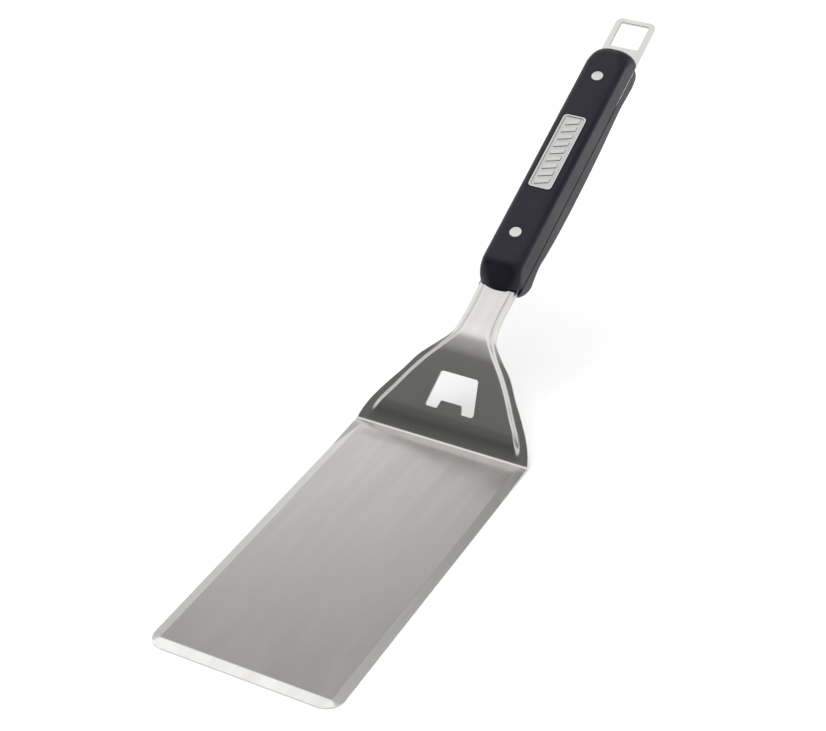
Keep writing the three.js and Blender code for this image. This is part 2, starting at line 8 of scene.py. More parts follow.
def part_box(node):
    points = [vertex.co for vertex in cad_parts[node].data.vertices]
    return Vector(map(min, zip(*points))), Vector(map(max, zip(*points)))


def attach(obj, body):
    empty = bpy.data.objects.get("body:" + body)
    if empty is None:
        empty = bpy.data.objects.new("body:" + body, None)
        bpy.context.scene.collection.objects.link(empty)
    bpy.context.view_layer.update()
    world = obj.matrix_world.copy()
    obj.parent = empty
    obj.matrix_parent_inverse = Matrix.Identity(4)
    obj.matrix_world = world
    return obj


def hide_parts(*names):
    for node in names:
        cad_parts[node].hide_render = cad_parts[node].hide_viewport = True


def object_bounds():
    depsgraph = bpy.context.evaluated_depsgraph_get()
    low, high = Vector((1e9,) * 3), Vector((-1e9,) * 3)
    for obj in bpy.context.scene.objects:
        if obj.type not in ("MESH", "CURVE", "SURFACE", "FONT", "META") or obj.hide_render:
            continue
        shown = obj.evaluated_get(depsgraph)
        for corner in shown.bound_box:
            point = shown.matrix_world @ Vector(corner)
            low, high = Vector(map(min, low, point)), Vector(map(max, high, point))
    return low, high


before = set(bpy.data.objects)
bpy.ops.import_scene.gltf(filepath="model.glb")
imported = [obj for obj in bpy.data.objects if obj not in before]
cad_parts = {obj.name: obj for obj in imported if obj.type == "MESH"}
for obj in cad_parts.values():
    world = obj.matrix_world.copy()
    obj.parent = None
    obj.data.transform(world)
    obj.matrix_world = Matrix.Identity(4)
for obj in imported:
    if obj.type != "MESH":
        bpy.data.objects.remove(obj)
CAD_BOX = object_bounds()

# Shapes are worked out in millimetres and placed in metres. A place on the steel is given by x, by s, the distance
# along the sheet from the crease, and by the height off the sheet's upper surface, measured square to it.
MM = 0.001

# Camera and studio
CAMERA_AZIMUTH = math.radians(28.73)
CAMERA_ELEVATION = math.radians(34.13)
CAMERA_ROLL = math.radians(-1.08)
CAMERA_DISTANCE = 988.66
CAMERA_TARGET = Vector((-2.28, -49.09, 64.06))
CAMERA_LENS = 86.665
FLOOR_RADIUS = 30
FLOOR_SEGMENTS = 96

# Steel sheet
SHEET_THICKNESS = 1.5
BLADE_LENGTH = 198.4
BLADE_FRONT_HALF = 50.8
BLADE_CORNER_RADIUS = 9.5
GROUND_EDGE = 0.5
FRONT_BEVEL_WIDTH = 6
SIDE_BEVEL_WIDTH = 5
SIDE_BEVEL_START = 4
SIDE_BEVEL_RUN_OUT = 26
# Share of the bevels' painted highlight that the side bevels take, against the front bevel's
SIDE_BEVEL_HIGHLIGHT = 0.15
CREASE_ARC = 2
SWELL_HEIGHT = 0.13
SWELL_RISE = (-13, -5)
SWELL_FALL = (-5.5, -1)
SWELL_TAPER = (38, 47)
NECK_SLOPE = math.radians(49.3)
BEND_START = 46.6
BEND_END = 68.4
TANG_SLOPE = math.radians(24.1)
TANG_HALF = 11.1
LOOP_HALF = 12.15
LOOP_WIDENING = (196, 232)
LOOP_END = 287.8
LOOP_CORNER_RADIUS = 4
LOOP_OPENING = {"half": 8.45, "front": 266.8, "rear": 284.6, "radius": 0.8}
EDGE_ROUND = 0.15
BEVEL_BLEND = 0.9
BEVEL_SOFTNESS = 0.03
NARROW_RIM_SHARE = 0.92
THIN_EDGE_SHARE = 2.2
HOLE_CHAMFER = 0.2
HOLE_FLARE = 0.5

# Half-widths of the neck at each distance from the crease: the steel's edge, and the raised centre's step.
NECK_OUTLINE = [
    (0, 50.2, 43.2),
    (6, 48.5, 42.6),
    (13, 45.4, 39.8),
    (22, 39.9, 34.3),
    (32, 33, 28.4),
    (42, 26.6, 21.6),
    (50, 19.3, 15.2),
    (58, 13, 9.9),
    (68, TANG_HALF, 8),
    (90, TANG_HALF, 8),
]
RAISED_HEIGHT = 1.8
RAISED_FADE_IN = (1, 14)
RAISED_FADE_OUT = (98, 112)
STEP_SPREAD = 1.8

# Bottle opener, cut through the raised centre of the neck
OPENER_CORNERS = [
    (7.3, 16.7, 1),
    (14.2, 16.7, 1.8),
    (10.7, 36.6, 1.8),
    (-10.7, 36.6, 1.8),
    (-14.2, 16.7, 1.8),
    (-7.3, 16.7, 1),
    (-6, 21.4, 1),
    (6, 21.4, 1),
]

# Handle scales
HANDLE_HALF = 12.3
HANDLE_DRAFT = 0.0036
HANDLE_TOP = 13.9
SEAM_ROUND = 0.3
SEAM_ROUND_LIMIT = 0.4
UPPER = {
    "side": 1,
    "seam": -0.75,
    "edge_radius": 4.6,
    "draft": HANDLE_DRAFT,
    "front": {"at": 87.9, "length": 8.5, "power": 2.3, "foot": 2.1, "lean": math.radians(40), "top_radius": 7},
    "rear": {"at": 259.4, "length": 6, "power": 3, "foot": 0, "lean": 0, "top_radius": 12.5},
    "nose_radius": 7,
    "nose_stretch": 13,
    "butt_radius": 11.5,
    "butt_stretch": 16,
}
LOWER = {
    "side": -1,
    "seam": -1.45,
    "edge_radius": 3.6,
    "draft": 0,
    "front": {"at": 88.6, "length": 3.4, "power": 3},
    "rear": {"at": 257.6, "length": 5.6, "power": 2.6},
}
TIP_ANGLE = 0.06
ROUND_LIMIT = 0.97
FIT_GAP = 0.3
PRESS_GAP = 0.05
POCKET_STATIONS = 60
POCKET_WIDEST = 12.1

# Depth of the lower scale under the tang at each distance from the crease.
LOWER_PROFILE = [
    (88.6, 2.6),
    (92, 6.8),
    (97, 11),
    (102.4, 13.1),
    (108.5, 11.5),
    (115, 10.5),
    (123.5, 11.7),
    (136, 12.9),
    (150, 13.6),
    (167, 13.8),
    (187, 13.4),
    (203, 12.6),
    (218, 11.2),
    (231, 10.5),
    (243.5, 11.5),
    (250, 11.1),
    (255, 8),
    (257.6, 3),
]

# Rivets
RIVETS = [("front", 118.7, 10.7), ("rear", 232.2, 10.5)]
RIVET_HEAD_RADIUS = 3.4
RIVET_HEAD_THICKNESS = 1.6
RIVET_HEAD_ROUND = 0.25
RIVET_HEAD_CROWN = 0.04
RIVET_HEAD_CENTRE = 0.15
RIVET_POST_RADIUS = 1.5
RIVET_POST_END = -5
RIVET_SLEEVE_RADIUS = 2.4
RIVET_SLEEVE_BORE = RIVET_POST_RADIUS + FIT_GAP
RIVET_SLEEVE_END = 10.2
RIVET_SEAT_GAP = 0.12
SEAT_CHAMFER = 0.12
RIVET_SEGMENTS = 64

# Badge
BADGE = {"half": 6.9, "front": 149.6, "rear": 201.9, "radius": 2.8}
BADGE_PROUD = 0.2
BADGE_THICKNESS = 1.2
BADGE_CHAMFER = 0.25
BADGE_BED = 0.5
RECESS_CHAMFER = 0.15
PANEL_INSET = 1.5
PANEL_DEPTH = 0.4
BAR_COUNT = 9
BAR_HALF = 3.9
BAR_WIDTH = 3
BAR_SLANT = 1.4
BAR_MARGIN = 3.4
BAR_CORNER = 0.5
BAR_CHAMFER = 0.2
BAR_ROOT = 0.2
PANEL_TOLERANCE = 0.05

# How finely the meshes are drawn
SMALL_ROUND_STEPS = 3
EDGE_ROUND_STEPS = 12
SHEET_CORNER_STEPS = 14
SCALE_END_STEPS = 16
BADGE_CORNER_STEPS = 8
BAR_CORNER_STEPS = 4
HEAD_ROUND_STEPS = 4
STATION_GAP = 0.01
SCALE_STATION_GAP = 0.4
SHARP_ANGLE = math.radians(34)
MITRE_LIMIT = 0.3
SAME_PLACE = 1e-6
CLEAR = 6

# Where the surfaces are worn, and where highlights are painted on the bevels and the scales' edges: how wide the wear
# is, and how strong against that of the steel's rim
RIM_WEAR_WIDTH = 1.2
STEP_WEAR = 0.6
# How deep a bevel must be before its painted highlight is at full strength
BEVEL_HIGHLIGHT_FADE_DEPTH = 0.08
SCALE_WEAR_HIGHLIGHT_PLACE = 0.45
SCALE_WEAR_HIGHLIGHT_SPREAD = 5


def clamp(value, low=0.0, high=1.0):
    return max(low, min(high, value))


def smooth_share(value, start, end):
    share = clamp((value - start) / (end - start))
    return share * share * (3 - 2 * share)


def mix(a, b, share):
    return a + (b - a) * share


def evenly(start, end, count):
    return [mix(start, end, i / count) for i in range(count + 1)]


def soft_max(a, b, softness):
    """The larger of two values, with the corner between them rounded."""
    return (a + b + math.sqrt((a - b) ** 2 + softness**2)) / 2


def cubic_curve(table):
    """A smooth curve through rows of a place and its values, with no curvature at its ends."""
    places = [row[0] for row in table]

    def evaluate(place):
        after = next((i for i, p in enumerate(places) if p > place), len(places) - 1)
        after = max(after, 1)
        before = after - 1
        start, end = places[before], places[after]
        first, last = before == 0, after == len(places) - 1
        previous = after if first else before - 1
        following = before if last else after + 1
        half = (end - start) / 2
        weight_before = half / (start - places[previous])
        weight_after = half / (places[following] - end)
        p = clamp((place - start) / (end - start))
        shares = [
            (previous, -weight_before * (p**3 - 2 * p**2 + p)),
            (before, (1 + weight_before) * p**3 - (1.5 + 2 * weight_before) * p**2 + (weight_before - 0.5) * p + 1),
            (after, (-1 - weight_after) * p**3 + (1.5 + weight_after) * p**2 + 0.5 * p),
            (following, weight_after * (p**3 - p**2)),
        ]
        return [sum(table[i][k] * w for i, w in shares) for k in range(1, len(table[0]))]

    return evaluate


# ---- mesh helpers ----


def link(name, mesh):
    made = bpy.data.objects.new(name, mesh)
    bpy.context.scene.collection.objects.link(made)
    return made


def mesh_from(name, points, faces):
    mesh = bpy.data.meshes.new(name)
    mesh.from_pydata(points, [], faces)
    mesh.validate()
    return mesh


def loft(name, rings):
    """A closed body through rings of points that all run the same way round, with flat ends."""
    count = len(rings[0])
    faces = [tuple(reversed(range(count)))]
    for k in range(len(rings) - 1):
        for i in range(count):
            j = (i + 1) % count
            here, ahead = k * count, (k + 1) * count
            faces.append((here + i, here + j, ahead + j, ahead + i))
    faces.append(tuple(range((len(rings) - 1) * count, len(rings) * count)))
    return mesh_from(name, [p for ring in rings for p in ring], faces)


def shape_with(mesh, cutters, operation="DIFFERENCE"):
    """The mesh after each of the cutters has been taken away from it or joined to it."""
    for cutter_mesh in cutters:
        body, cutter = link("body", mesh), link("cutter", cutter_mesh)
        step = body.modifiers.new("shape", "BOOLEAN")
        step.operation = operation
        step.solver = "EXACT"
        step.object = cutter
        bpy.context.view_layer.update()
        evaluated = body.evaluated_get(bpy.context.evaluated_depsgraph_get())
        mesh = bpy.data.meshes.new_from_object(evaluated)
        bpy.data.objects.remove(body)
        bpy.data.objects.remove(cutter)
    return mesh


def paint(mesh, name, marks):
    """Gives each vertex the value of the nearest mark, a point with its value from 0 to 1."""
    tree = KDTree(len(marks))
    for i, (point, _) in enumerate(marks):
        tree.insert(point, i)
    tree.balance()
    painted = mesh.attributes.new(name, "FLOAT", "POINT")
    painted.data.foreach_set("value", [marks[tree.find(v.co)[1]][1] for v in mesh.vertices])


def piece(name, mesh, material, slot, *nodes):
    """A finished piece of the object, which stands for CAD nodes and rides on the body."""
    mesh.transform(Matrix.Scale(MM, 4))
    for face in mesh.polygons:
        face.use_smooth = True
    mesh.set_sharp_from_angle(angle=SHARP_ANGLE)
    mesh.materials.clear()
    mesh.materials.append(material)
    made = link(name, mesh)
    normals = made.modifiers.new("even_normals", "WEIGHTED_NORMAL")
    normals.keep_sharp = True
    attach(made, "root")
    if nodes:
        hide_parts(*nodes)
    return made


def rounded_outline(corners, steps=6):
    """Points round a closed outline through corners of x, s and radius."""
    points = []
    for i, (x, s, radius) in enumerate(corners):
        here = Vector((x, s))
        back = (Vector(corners[i - 1][:2]) - here).normalized()
        ahead = (Vector(corners[(i + 1) % len(corners)][:2]) - here).normalized()
        cut = radius / math.tan(back.angle(ahead) / 2)
        for share in evenly(0, 1, steps):
            points.append(here + back * cut * (1 - share) ** 2 + ahead * cut * share**2)
    return points


def rounded_rectangle(half, front, rear, radius, inset=0, steps=6):
    r = radius - min(inset, radius / 2)
    x, start, end = half - inset, front + inset, rear - inset
    return rounded_outline([(x, start, r), (x, end, r), (-x, end, r), (-x, start, r)], steps)


def circle(s, radius, segments=48):
    turns = [2 * math.pi * i / segments for i in range(segments)]
    return [Vector((radius * math.cos(a), s + radius * math.sin(a))) for a in turns]


def grown(outline, by):
    """The outline moved outwards by a distance, all the way round."""
    moved = []
    for i, here in enumerate(outline):
        first = here - outline[i - 1]
        second = outline[(i + 1) % len(outline)] - here
        normals = [Vector((d.y, -d.x)).normalized() for d in (first, second) if d.length > SAME_PLACE]
        middle = sum(normals, Vector((0, 0))).normalized()
        moved.append(here + middle * by / max(middle.dot(normals[0]), MITRE_LIMIT))
    return moved


def prism(name, outline, levels):
    """A closed body on the sheet: the outline at each level, a height and how much it is grown there."""
    rings = [[on_sheet(x, s, height) for x, s in grown(outline, by)] for height, by in levels]
    return loft(name, rings)


def through_hole(lower, upper, chamfer):
    """Levels of a cutter for a hole between two surfaces, with the edges of the hole broken."""
    return [
        (lower - HOLE_FLARE, HOLE_FLARE + chamfer),
        (lower + chamfer, 0),
        (upper - chamfer, 0),
        (upper + HOLE_FLARE, HOLE_FLARE + chamfer),
    ]


# ---- the bent sheet ----

BLADE_BOX = [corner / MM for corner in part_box("blade_and_tang")]
CREASE = Vector((0, BLADE_BOX[0].y + BLADE_LENGTH, BLADE_BOX[0].z + SHEET_THICKNESS))

STRETCHES = [
    (-CREASE_ARC / 2, CREASE_ARC / 2, NECK_SLOPE),
    (CREASE_ARC / 2, BEND_START, 0),
    (BEND_START, BEND_END, TANG_SLOPE - NECK_SLOPE),
    (BEND_END, LOOP_END, 0),
]


def sheet_frame(s):
    """Where the sheet's upper surface is at s, on the centre line, and its slope there."""
    y, z, slope = min(s, -CREASE_ARC / 2), 0, 0
    for start, end, turn in STRETCHES:
        run = clamp(s - start, 0, end - start)
        turned = turn * run / (end - start)
        chord = run * math.sin(turned / 2) / (turned / 2) if turned else run
        y += chord * math.cos(slope + turned / 2)
        z += chord * math.sin(slope + turned / 2)
        slope += turned
    return y, z, slope


def on_sheet(x, s, off):
    y, z, slope = sheet_frame(s)
    return CREASE + Vector((x, y - off * math.sin(slope), z + off * math.cos(slope)))


neck_curves = cubic_curve(NECK_OUTLINE)


def straight_half(s):
    """Half-width of the blade at s, before its front corners are rounded."""
    return mix(NECK_OUTLINE[0][1], BLADE_FRONT_HALF, -s / BLADE_LENGTH)


def sheet_widths(s):
    """Half-widths of the steel's edge and of the raised centre at s, and the share of its full width there."""
    if s <= 0:
        edge = straight_half(s)
        past = max(BLADE_CORNER_RADIUS - BLADE_LENGTH - s, 0)
        rounded = edge - BLADE_CORNER_RADIUS + math.sqrt(BLADE_CORNER_RADIUS**2 - past**2)
        return rounded, NECK_OUTLINE[0][2], rounded / edge
    if s < NECK_OUTLINE[-1][0]:
        edge, step = neck_curves(s)
        return edge, step, 1
    edge = mix(TANG_HALF, LOOP_HALF, smooth_share(s, *LOOP_WIDENING))
    past = max(s - LOOP_END + LOOP_CORNER_RADIUS, 0)
    rounded = edge - LOOP_CORNER_RADIUS + math.sqrt(max(LOOP_CORNER_RADIUS**2 - past**2, 0))
    return rounded, NECK_OUTLINE[-1][2], rounded / edge


def raised_height(s):
    return RAISED_HEIGHT * smooth_share(s, *RAISED_FADE_IN) * (1 - smooth_share(s, *RAISED_FADE_OUT))


def blade_swell(x, s):
    """How far the blade bulges upwards just in front of the crease."""
    along = smooth_share(s, *SWELL_RISE) * (1 - smooth_share(s, *SWELL_FALL))
    return SWELL_HEIGHT * along * (1 - smooth_share(x, *SWELL_TAPER))


def bevel_depth(x, s):
    """How far the bevels, sharpened by grinding, lie below the blade's flat upper surface."""
    if s > -SIDE_BEVEL_START:
        return 0
    drop = SHEET_THICKNESS - GROUND_EDGE
    front = drop * (FRONT_BEVEL_WIDTH - BLADE_LENGTH - s) / FRONT_BEVEL_WIDTH
    side = drop * (abs(x) - straight_half(s) + SIDE_BEVEL_WIDTH) / SIDE_BEVEL_WIDTH
    run_out = drop * (-SIDE_BEVEL_START - s) / SIDE_BEVEL_RUN_OUT
    deepest = soft_max(front, min(side, run_out), BEVEL_SOFTNESS)
    return clamp(soft_max(deepest, 0, BEVEL_SOFTNESS) - BEVEL_SOFTNESS / 2, 0, drop)


def sheet_stations():
    """Places along the sheet where its section is drawn, closest together where it curves."""
    quarter = evenly(0, math.pi / 2, SHEET_CORNER_STEPS)
    small_quarter = evenly(0, math.pi / 2, SMALL_ROUND_STEPS)
    front_round = [EDGE_ROUND * (1 - math.cos(a)) - BLADE_LENGTH for a in small_quarter]
    front_corner = [BLADE_CORNER_RADIUS * (1 - math.cos(a)) - BLADE_LENGTH for a in quarter]
    loop_corner = [LOOP_END + LOOP_CORNER_RADIUS * (math.sin(a) - 1) for a in quarter]
    loop_round = [LOOP_END - EDGE_ROUND * (1 - math.cos(a)) for a in small_quarter]
    bevel_line = FRONT_BEVEL_WIDTH - BLADE_LENGTH
    full_bevel = -SIDE_BEVEL_START - SIDE_BEVEL_RUN_OUT - SIDE_BEVEL_START
    spans = [
        (bevel_line - 1, bevel_line + 1, 10),
        (bevel_line + 1, full_bevel, 60),
        (full_bevel, -SIDE_BEVEL_START, 40),
        (-SIDE_BEVEL_START, -CREASE_ARC / 2, 10),
        (-CREASE_ARC / 2, CREASE_ARC / 2, 12),
        (*RAISED_FADE_IN, 12),
        (RAISED_FADE_IN[1], BEND_START, 26),
        (BEND_START, BEND_END, 24),
        (BEND_END, RAISED_FADE_OUT[0], 12),
        (*RAISED_FADE_OUT, 10),
        (RAISED_FADE_OUT[1], LOOP_WIDENING[0], 20),
        (*LOOP_WIDENING, 12),
        (LOOP_WIDENING[1], LOOP_END - LOOP_CORNER_RADIUS, 16),
    ]
    along = front_round + front_corner + loop_corner + loop_round
    along += [s for span in spans for s in evenly(*span)]
    stations = []
    for s in sorted(along):
        if not stations or s - stations[-1] > STATION_GAP:
            stations.append(s)
    return stations


def sheet_columns(s):
    """Places across the right half of the upper surface at s, from the middle to where its edge starts to round."""
    edge, step, share = sheet_widths(s)
    full = edge / share
    rim = full - step - STEP_SPREAD
    narrowing = min(1, NARROW_RIM_SHARE * rim / (SIDE_BEVEL_WIDTH + BEVEL_BLEND))
    bevel, blend = SIDE_BEVEL_WIDTH * narrowing, BEVEL_BLEND * narrowing
    stops = [
        (0, 10),
        (step - STEP_SPREAD, 12),
        (step + STEP_SPREAD, 2),
        (full - bevel - blend, 6),
        (full - bevel + blend, 5),
        (full - EDGE_ROUND, 0),
    ]
    across = []
    for (start, count), (end, _) in zip(stops, stops[1:]):
        across += evenly(start, end, count)[:-1]
    limit = edge - EDGE_ROUND
    scale = limit / (full - EDGE_ROUND)
    return [x * scale for x in across] + [limit]


def sheet_ring(s):
    """A section of the sheet at s, from the middle of the upper surface round to the right and back."""
    edge, step, _ = sheet_widths(s)
    near_end = min(s + BLADE_LENGTH, LOOP_END - s, EDGE_ROUND)
    pinch = EDGE_ROUND - math.sqrt(max(EDGE_ROUND**2 - (EDGE_ROUND - near_end) ** 2, 0))
    height = raised_height(s)

    def raised(x):
        return height * (1 - smooth_share(x, step - STEP_SPREAD, step + STEP_SPREAD)) + blade_swell(x, s)

    columns = sheet_columns(s)
    upper = [(x, raised(x) - bevel_depth(x, s) - pinch) for x in columns]
    lower = [(x, raised(x) - SHEET_THICKNESS + pinch) for x in reversed(columns)]
    turn = [(math.sin(a), 1 - math.cos(a)) for a in evenly(0, math.pi / 2, SMALL_ROUND_STEPS)[1:]]
    edge_start, edge_end = upper[-1][1], lower[0][1]
    round_off = min(EDGE_ROUND, (edge_start - edge_end) / THIN_EDGE_SHARE)
    over = [(edge - EDGE_ROUND + EDGE_ROUND * out, edge_start - round_off * down) for out, down in turn]
    under = [(edge - EDGE_ROUND + EDGE_ROUND * out, edge_end + round_off * down) for out, down in reversed(turn)]
    right = upper + over + under + lower
    left = [(-x, off) for x, off in reversed(right[1:-1])]
    return right + left


def sheet_wear(x, s):
    edge, step, _ = sheet_widths(s)
    rim = min(edge - abs(x), s + BLADE_LENGTH, LOOP_END - s)
    on_step = 1 - clamp(abs(abs(x) - step + STEP_SPREAD) / STEP_SPREAD)
    return max(1 - clamp(rim / RIM_WEAR_WIDTH), STEP_WEAR * on_step * raised_height(s) / RAISED_HEIGHT)


def sheet_bevel_highlight(x, s, off):
    """How bright the painted highlight of the bevels leaves a point of the upper surface: brightest on the front bevel.
    """
    if off < -SHEET_THICKNESS + GROUND_EDGE / 2:
        return 0
    front = mix(SIDE_BEVEL_HIGHLIGHT, 1, clamp(FRONT_BEVEL_WIDTH - BLADE_LENGTH - s))
    return front * clamp(bevel_depth(x, s) / BEVEL_HIGHLIGHT_FADE_DEPTH)


def blade_and_tang(material):
    sections = [(s, sheet_ring(s)) for s in sheet_stations()]
    rings = [[on_sheet(x, s, off) for x, off in ring] for s, ring in sections]
    body = loft("sheet", rings)
    places = [(x, s, off) for s, ring in sections for x, off in ring]
    centre = (RAISED_HEIGHT - SHEET_THICKNESS, RAISED_HEIGHT)
    opener = prism("opener", rounded_outline(OPENER_CORNERS), through_hole(*centre, HOLE_CHAMFER))
    opening = rounded_rectangle(**LOOP_OPENING)
    loop = prism("hang_opening", opening, through_hole(-SHEET_THICKNESS, 0, HOLE_CHAMFER))
    bores = [
        prism("bore", circle(s, RIVET_SLEEVE_RADIUS + FIT_GAP), [(-SHEET_THICKNESS - 1, 0), (1, 0)])
        for _, s, _ in RIVETS
    ]
    mesh = shape_with(body, [opener, loop, *bores])
    paint(mesh, "wear_and_highlight", [(on_sheet(x, s, off), sheet_wear(x, s)) for x, s, off in places])
    paint(mesh, "bevel_highlight", [(on_sheet(x, s, off), sheet_bevel_highlight(x, s, off)) for x, s, off in places])
    return piece("brushed_blade_and_tang", mesh, material, "stainless_steel", "blade_and_tang")


# ---- the handle ----

lower_curve = cubic_curve(LOWER_PROFILE)


def scale_stations(shape, middle):
    """Places along a scale where its section is drawn: close together at its ends, and those given between them."""
    inwards = [1 - math.cos(a) for a in evenly(TIP_ANGLE, math.pi / 2, SCALE_END_STEPS)]
    front, rear = shape["front"], shape["rear"]
    start = [front["at"] + front["length"] * t for t in inwards]
    end = [rear["at"] - rear["length"] * t for t in reversed(inwards)]
    inside = [s for s in middle if start[-1] + SCALE_STATION_GAP < s < end[0] - SCALE_STATION_GAP]
    return start + inside + end


def scale_half(s, shape):
    """Half-width of a scale at s, with its ends rounded in plan."""
    halves = []
    for end, inward in ((shape["front"], s - shape["front"]["at"]), (shape["rear"], shape["rear"]["at"] - s)):
        curl = max(1 - inward / end["length"], 0)
        halves.append(HANDLE_HALF * (1 - curl ** end["power"]) ** (1 / end["power"]))
    return min(halves)


def end_height(inward, foot, lean, top_radius):
    """Height of the upper scale at a distance in from its tip: the leaning face, then its round into the top."""
    corner = (HANDLE_TOP - foot) * math.tan(lean)
    tangent = top_radius * math.tan((math.pi / 2 - lean) / 2)
    if inward < corner - tangent * math.sin(lean):
        return foot + inward / math.tan(lean)
    past = max(corner + tangent - inward, 0)
    return HANDLE_TOP - top_radius + math.sqrt(max(top_radius**2 - past**2, 0))


def upper_reach(s):
    """Height of the upper scale's top at s."""
    front, rear = UPPER["front"], UPPER["rear"]
    return min(
        end_height(s - front["at"], front["foot"], front["lean"], front["top_radius"]),
        end_height(rear["at"] - s, rear["foot"], rear["lean"], rear["top_radius"]),
    )


def upper_edge(s):
    """Radius of the upper scale's long edges at s, growing towards its ends."""
    base = UPPER["edge_radius"]
    nose = max(1 - (s - UPPER["front"]["at"]) / UPPER["nose_stretch"], 0)
    butt = max(1 - (UPPER["rear"]["at"] - s) / UPPER["butt_stretch"], 0)
    return base + nose * (UPPER["nose_radius"] - base) + butt * (UPPER["butt_radius"] - base)


def scale_ring(s, shape, reach, radius):
    """A section of a scale at s, from one seam edge round to the other."""
    half, seam, side = scale_half(s, shape), shape["seam"], shape["side"]
    round_top = min(radius, ROUND_LIMIT * half, ROUND_LIMIT * (reach - side * seam))
    limit = SEAM_ROUND_LIMIT * min(reach - side * seam - round_top, half)
    round_seam = min(SEAM_ROUND, limit)
    right = []
    for angle in evenly(0, math.pi / 2, SMALL_ROUND_STEPS):
        inset, rise = round_seam * (1 - math.sin(angle)), round_seam * (1 - math.cos(angle))
        right.append((half - inset, seam + side * rise))
    for angle in evenly(0, math.pi / 2, EDGE_ROUND_STEPS):
        height = reach - round_top + round_top * math.sin(angle)
        narrowing = 1 - shape["draft"] * max(height, 0)
        right.append((half * narrowing - round_top + round_top * math.cos(angle), side * height))
    x, top = right[-1]
    across = [(x * share, top) for share in (0.66, 0.33)]
    half_ring = right + across
    ring = half_ring + [(-x, z) for x, z in reversed(half_ring)]
    ring = ring if side > 0 else list(reversed(ring))
    return [on_sheet(x, s, z) for x, z in reversed(ring)]


def scale_wear_and_highlight(rings):
    """Wear of a scale and a painted highlight on it, both strongest along its rounded long edges."""
    marks = []
    for ring in rings:
        count = len(ring) // 2
        for i, point in enumerate(ring):
            along = min(i, len(ring) - 1 - i)
            marks.append((point, 1 - clamp(abs(along - SCALE_WEAR_HIGHLIGHT_PLACE * count) / SCALE_WEAR_HIGHLIGHT_SPREAD)))
    return marks


def tang_pocket():
    """The slot for the steel, just wider than the steel and closed by a thin wall along the seam."""
    start, end = UPPER["front"]["at"] - CLEAR, UPPER["rear"]["at"] + CLEAR
    stations = evenly(start, end, POCKET_STATIONS)
    right = [(min(sheet_widths(s)[0] + PRESS_GAP, POCKET_WIDEST), s) for s in stations]
    outline = [Vector(p) for p in right] + [Vector((-x, s)) for x, s in reversed(right)]
    return prism("pocket", outline, [(-SHEET_THICKNESS - PRESS_GAP, 0), (PRESS_GAP, 0)])


def raised_centre_groove():
    """Room in the upper scale for the end of the raised centre."""
    foot = NECK_OUTLINE[-1][2] + STEP_SPREAD + 2 * FIT_GAP
    top = foot - STEP_SPREAD
    height = RAISED_HEIGHT + FIT_GAP
    section = [(-foot, -height), (foot, -height), (foot, FIT_GAP), (top, height), (-top, height), (-foot, FIT_GAP)]
    ends = (UPPER["front"]["at"] - CLEAR, RAISED_FADE_OUT[1])
    return loft("groove", [[on_sheet(x, s, z) for x, z in reversed(section)] for s in ends])


def rivet_cutters(top, side):
    """The bore and the seat of each rivet through a scale, with top its outer surface at each rivet."""
    cutters = []
    for name, s, depth in RIVETS:
        outer = top if side > 0 else -depth
        shoulder = outer - side * (RIVET_HEAD_THICKNESS + FIT_GAP)
        bore = [(-depth - CLEAR, 0), (HANDLE_TOP + CLEAR, 0)]
        flare = (outer + side * CLEAR, CLEAR + SEAT_CHAMFER)
        seat = [(shoulder, 0), (outer - side * SEAT_CHAMFER, 0), flare]
        seat = seat if side > 0 else list(reversed(seat))
        cutters.append(prism("bore", circle(s, RIVET_SLEEVE_RADIUS + FIT_GAP), bore))
        cutters.append(prism("seat", circle(s, RIVET_HEAD_RADIUS + RIVET_SEAT_GAP), seat))
    return cutters


def upper_scale(material):
    middle = evenly(UPPER["front"]["at"], 104, 24) + evenly(104, 240, 34) + evenly(240, UPPER["rear"]["at"], 30)
    rings = [scale_ring(s, UPPER, upper_reach(s), upper_edge(s)) for s in scale_stations(UPPER, sorted(set(middle)))]
    floor = HANDLE_TOP + BADGE_PROUD - BADGE_THICKNESS - BADGE_BED - 2 * FIT_GAP
    levels = [(floor, 0), (HANDLE_TOP - RECESS_CHAMFER, 0), (HANDLE_TOP + CLEAR, CLEAR + RECESS_CHAMFER)]
    recess = prism("recess", rounded_rectangle(**BADGE, inset=-FIT_GAP, steps=BADGE_CORNER_STEPS), levels)
    cutters = [tang_pocket(), raised_centre_groove(), recess, *rivet_cutters(HANDLE_TOP, 1)]
    mesh = shape_with(loft("upper", rings), cutters)
    paint(mesh, "wear_and_highlight", scale_wear_and_highlight(rings))
    return piece("satin_upper_scale", mesh, material, "handle_plastic", "upper_scale")


def lower_scale(material):
    middle = evenly(LOWER["front"]["at"], 125, 36) + evenly(125, 240, 46) + evenly(240, LOWER["rear"]["at"], 22)
    stations = scale_stations(LOWER, sorted(set(middle)))
    rings = [scale_ring(s, LOWER, lower_curve(s)[0], LOWER["edge_radius"]) for s in stations]
    mesh = shape_with(loft("lower", rings), [tang_pocket(), *rivet_cutters(0, -1)])
    paint(mesh, "wear_and_highlight", scale_wear_and_highlight(rings))
    return piece("satin_lower_scale", mesh, material, "handle_plastic", "lower_scale")


# ---- rivets and badge ----


def turned(name, s, profile):
    """A body turned about an axis square to the tang at s, through a profile of radii and heights."""
    rings = [[on_sheet(p.x, p.y, height) for p in circle(s, radius, RIVET_SEGMENTS)] for radius, height in profile]
    return loft(name, rings)


def rounded_rim(outer, height, side):
    """Profile of a rivet head's face: a rounded rim and a face that is very slightly crowned."""
    turns = evenly(0, math.pi / 2, HEAD_ROUND_STEPS)
    r, crown = RIVET_HEAD_ROUND, RIVET_HEAD_CROWN
    rim = [(outer - r + r * math.cos(a), height - side * (crown + r - r * math.sin(a))) for a in turns]
    return rim + [(outer / 2, height - side * crown / 3), (RIVET_HEAD_CENTRE, height)]


